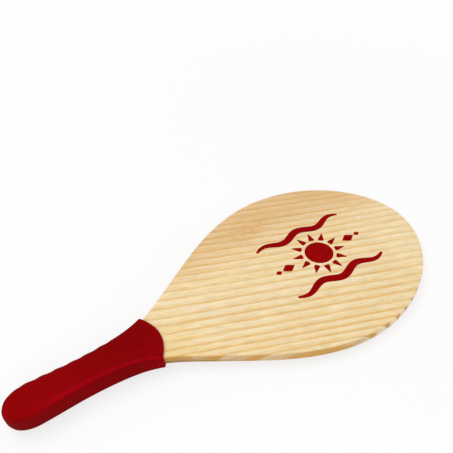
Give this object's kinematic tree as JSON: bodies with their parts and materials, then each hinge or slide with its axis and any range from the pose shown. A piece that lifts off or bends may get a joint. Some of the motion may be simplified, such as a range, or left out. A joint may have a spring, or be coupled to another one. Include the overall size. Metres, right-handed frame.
{
  "type": "frescobol racket",
  "caption": "Beach racket with a drop-shaped pine head, a tang between glued cheeks and a closed foam-rubber grip sleeve, for hitting a small rubber ball.",
  "frame": {"origin": "under the middle of the racket's length, on the plane of the grip's underside", "axes": "+X along the racket from the butt to the tip of the head, +Z square to the head's front face"},
  "size_m": [0.444, 0.21, 0.024],
  "materials": {
    "blade_pine": "satin",
    "cheek_pine": "matte",
    "grip_foam": "matte",
    "print_ink": "satin"
  },
  "bodies": {
    "root": {"blade": "blade_pine", "front_cheek": "cheek_pine", "back_cheek": "cheek_pine", "grip_sleeve": "grip_foam"}
  },
  "joints": []
}
